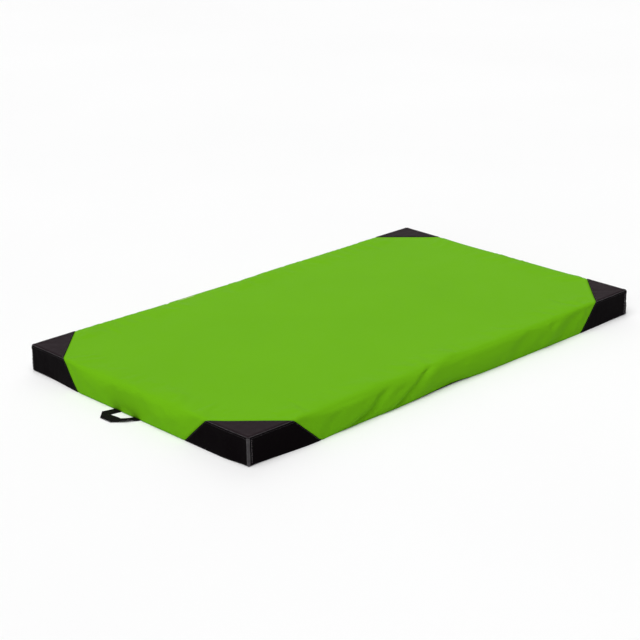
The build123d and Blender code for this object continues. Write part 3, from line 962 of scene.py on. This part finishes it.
# One strip of webbing, folded over at 45 degrees at both outer corners. Its rows run across it and shear to
# 45 degrees at the folds. The folded strip then leans, slants and drops to the floor.
def handle(name, end):
    look = webbing
    loopLow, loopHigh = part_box(f"{name}_loop")
    tailLow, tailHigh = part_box(f"{name}_tails")
    width, spacing, middle = look["width"], look["bar"], (loopLow.y + loopHigh.y) / 2
    tail = min(tailHigh.x - tailLow.x, 0.058)
    roots = loopHigh.y - loopLow.y - width
    bend = max(abs(loopLow.x), abs(loopHigh.x)) - halfLength - width / 2
    total = 2 * (tail + bend) + spacing
    stations = np.array([0, tail + bend, tail + bend + spacing, total])
    near = np.linspace(-0.6, 1.15, 15) * np.pi * look["foldRadius"] * root2
    atHinge = tail + np.linspace(-0.004, 0.008, 13)
    rows = np.unique(np.concatenate([ladder([0, total], 0.004), atHinge, total - atHinge,
                                     stations[1] + near, stations[2] - near]).round(6))
    rows = rows[(rows >= 0) & (rows <= total)]
    v = np.linspace(-width / 2, width / 2, 15)
    shear = np.interp(rows, stations, np.array([0.0, -1.0, 1.0, 0.0]))
    s = rows[:, None] + shear[:, None] * v[None]
    a, b = s - tail, spacing / 2 + np.broadcast_to(v, s.shape)
    flat = np.stack([a, b, np.zeros_like(a)], -1)
    flat = foldOver(flat, (bend + spacing, spacing / 2), (1, -1), look["foldRadius"])
    flat = foldOver(flat, (bend, spacing / 2), (1, 1), look["foldRadius"])
    out, across, height = flat[..., 0], flat[..., 1], flat[..., 2]

    # the second leg leans over, and the corner beside it lifts
    onSecond = ease((rows - stations[2] + 0.012) / 0.024)[:, None]
    lean = -look["twist"] * plateau(out, *look["twistSpan"]) * onSecond
    off = across + spacing / 2
    height = height + off * np.sin(lean) + np.abs(np.sin(lean)) * width / 2
    across = np.where(onSecond > 0, off * np.cos(lean) - spacing / 2, across)
    near = ease((spacing * 0.3 - across) / (spacing * 0.6))
    height = height + look["cornerLift"] * near * ease((out - 0.02) / 0.04)
    height = height + look["arch"] * bell((out - look["archAt"]) / 0.02) * (1 - onSecond)

    # both legs slant the same way, from roots set wider than the bar
    outward = np.clip(out / look["slant"], 0, 1)
    across = across + (1 - near) * ((roots - spacing) / 2 + look["farShift"] * outward)
    across = across + near * ((spacing - roots) / 2 + look["nearShift"] * outward)
    # from inside the cover down to the floor
    floor = look["thickness"] / 2 + look["clear"]
    height = height + floor + baseTop * (1 - ease(out / look["drop"]))
    points = np.stack([end * (halfLength + out), middle - end * across, height], -1)
    strap = makePiece(f"{name}_webbing", points, gridQuads(*s.shape),
                      uv=np.stack([np.broadcast_to(v, s.shape), s], -1))
    thicken(strap, look["thickness"], 0.0)
    dress(strap, webbingWeave, body=None, replaced=[f"{name}_loop", f"{name}_tails"])
    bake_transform(strap)
    print(f"{name}: webbing {total * 1000:.0f} mm long")


handle("left_handle", -1)
handle("right_handle", 1)


zipLook = {
    "tapeRound": 0.00012, "ripple": 0.00012, "pitch": 0.0025, "tooth": 0.0013, "head": 0.0017,
    "overlap": 0.0007, "shoulder": 0.0009, "neckFrom": 0.0016,
}


# a zip tape: a flat section with softened corners carried along x, rippled up and down by a sine
def zipTapes():
    soft = zipLook["tapeRound"]
    for side in ("upper", "lower"):
        node = f"zip_tape_{side}"
        low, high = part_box(node)
        x = np.linspace(low.x, high.x, 240)
        middleZ = (low.z + high.z) / 2
        section = np.array([
            (low.y + soft, low.z), (high.y - soft, low.z), (high.y, low.z + soft), (high.y, middleZ),
            (high.y, high.z - soft), (high.y - soft, high.z), (low.y + soft, high.z), (low.y, high.z - soft),
            (low.y, middleZ), (low.y, low.z + soft)])
        along, y, z = np.broadcast_arrays(x[:, None], section[:, 0], section[:, 1])
        z = z + zipLook["ripple"] * np.sin(x * 130)[:, None]
        tips = np.array([[low.x, *section.mean(0)], [high.x, *section.mean(0)]])
        points = np.concatenate([np.stack([along, y, z], -1).reshape(-1, 3), tips])
        piece = makePiece(f"{node}_weave", points, gridQuads(*z.shape, closed=True), tubeEnds(*z.shape),
                          uv=points[:, [0, 2]])
        faceOutwards(piece)
        dress(piece, zipTapeWeave, replaced=[node])


# A tooth's outline is a shank with a wider rounded head, drawn on the wall's plane and given the row's
# thickness. The two rows stand half a pitch apart.
def zipTeeth():
    look = zipLook
    for side, sign in (("upper", 1), ("lower", -1)):
        node = f"zip_teeth_{side}"
        low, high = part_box(node)
        middleZ = (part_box("zip_teeth_upper")[0].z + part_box("zip_teeth_lower")[1].z) / 2
        root = max(abs(low.z - middleZ), abs(high.z - middleZ)) + 0.0006
        tip, shoulder, neckFrom = -look["overlap"], look["shoulder"], look["neckFrom"]
        neck, head = look["tooth"] / 2, look["head"] / 2
        half = np.array([(neck, root), (neck, neckFrom), (head, shoulder), (head, tip + 0.0004),
                         (head / 2, tip)])
        outline = np.concatenate([half * (-1, 1), half[::-1]])
        count = int((high.x - low.x) / look["pitch"])
        at = low.x + (np.arange(count) + (0.25 if sign > 0 else 0.75)) * look["pitch"]
        points = len(outline)
        ring = np.zeros((count, 2, points, 3))
        ring[..., 0] = at[:, None, None] + outline[:, 0]
        ring[..., 1] = np.array([low.y + 0.0002, high.y - 0.0002])[:, None]
        ring[..., 2] = middleZ + sign * outline[:, 1]
        # the two flat faces are strips of quads between opposite points of the outline
        k = np.arange(points // 2 - 1)
        strip = np.stack([k, k + 1, points - 2 - k, points - 1 - k], -1)
        tooth = np.concatenate([gridQuads(2, points, closed=True), strip, (strip + points)[:, ::-1]])
        shift = (np.arange(count) * 2 * points)[:, None, None]
        piece = makePiece(f"{node}_row", ring, (tooth[None] + shift).reshape(-1, 4), smooth=False)
        faceOutwards(piece)
        dress(piece, nylon, replaced=[node])


# materials for the small parts that are used as they are
def dressFrame():
    metals = {"zip_slider": enamel, "zip_pull": enamel, "vent_eyelets": nickel, "vent_washers": nickel,
              "zip_top_stops": nylon, "zip_bottom_stop": nylon}
    for node, material in metals.items():
        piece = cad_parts[node]
        piece.data.materials.clear()
        piece.data.materials.append(material)


zipTapes()
zipTeeth()
dressFrame()
print("zip and fittings made")


studio = {
    "azimuth": -43.50, "elevation": 20.30, "roll": -0.84, "distance": 6.793, "lens": 98.67,
    "target": (0.012, 0.122, 0.053), "world": 0.06,
    # each lamp: where it shines from (azimuth and height in degrees), how wide it looks, and its strength
    "lights": {
        "overhead": (-66.0, 75.0, 60.0, 2.64),
        "side": (-68.0, 24.0, 50.0, 0.60),
        "behind": (136.0, 30.0, 56.0, 0.66),
    },
}


# the direction towards a place in the sky, by its azimuth and height in radians
def skyward(azimuth, height):
    return np.array([math.sin(azimuth) * math.cos(height), -math.cos(azimuth) * math.cos(height),
                     math.sin(height)])


# a pale floor, an even white world and the suns
def setStage():
    bpy.ops.mesh.primitive_plane_add(size=60, location=(0, 0, 0))
    floor = bpy.context.object
    floor.name = "studio_floor"
    material, tree, shader = newShader("pale floor", 0.9, 0.1)
    tone = noise(tree, coordinates(tree, "Object"), 0.6, 2.0)
    paint(tree, shader, tint(tree, tone, (246, 246, 246), (250, 250, 250)))
    floor.data.materials.append(material)
    world = bpy.data.worlds.new("studio air")
    world.use_nodes = True
    world.node_tree.nodes["Background"].inputs["Color"].default_value = (1, 1, 1, 1)
    world.node_tree.nodes["Background"].inputs["Strength"].default_value = studio["world"]
    bpy.context.scene.world = world
    for name, (azimuth, height, width, power) in studio["lights"].items():
        light = bpy.data.lights.new(name, "SUN")
        light.angle = math.radians(width)
        light.energy = power
        lamp = bpy.data.objects.new(name, light)
        lamp.location = 4 * skyward(math.radians(azimuth), math.radians(height))
        lamp.rotation_mode = "QUATERNION"
        lamp.rotation_quaternion = lamp.location.to_track_quat("Z", "Y")
        bpy.context.scene.collection.objects.link(lamp)
    bpy.context.scene.view_settings.view_transform = "Standard"


# the camera looks at the target from its distance, and its right, up and back are turned by the roll
def setCamera():
    azimuth, elevation, roll = (math.radians(studio[k]) for k in ("azimuth", "elevation", "roll"))
    back = skyward(azimuth, elevation)
    right = unit(np.cross([0, 0, 1], back))
    up = np.cross(back, right)
    camera = bpy.data.objects.new("camera", bpy.data.cameras.new("camera"))
    camera.data.lens = studio["lens"]
    camera.data.sensor_width = 36.0
    camera.data.clip_end = 100
    matrix = np.eye(4)
    matrix[:3, 0] = math.cos(roll) * right + math.sin(roll) * up
    matrix[:3, 1] = math.cos(roll) * up - math.sin(roll) * right
    matrix[:3, 2] = back
    matrix[:3, 3] = np.array(studio["target"]) + back * studio["distance"]
    bpy.context.scene.collection.objects.link(camera)
    camera.matrix_world = Matrix(matrix.tolist())
    bpy.context.scene.camera = camera


setStage()
setCamera()
print("stage and camera set")
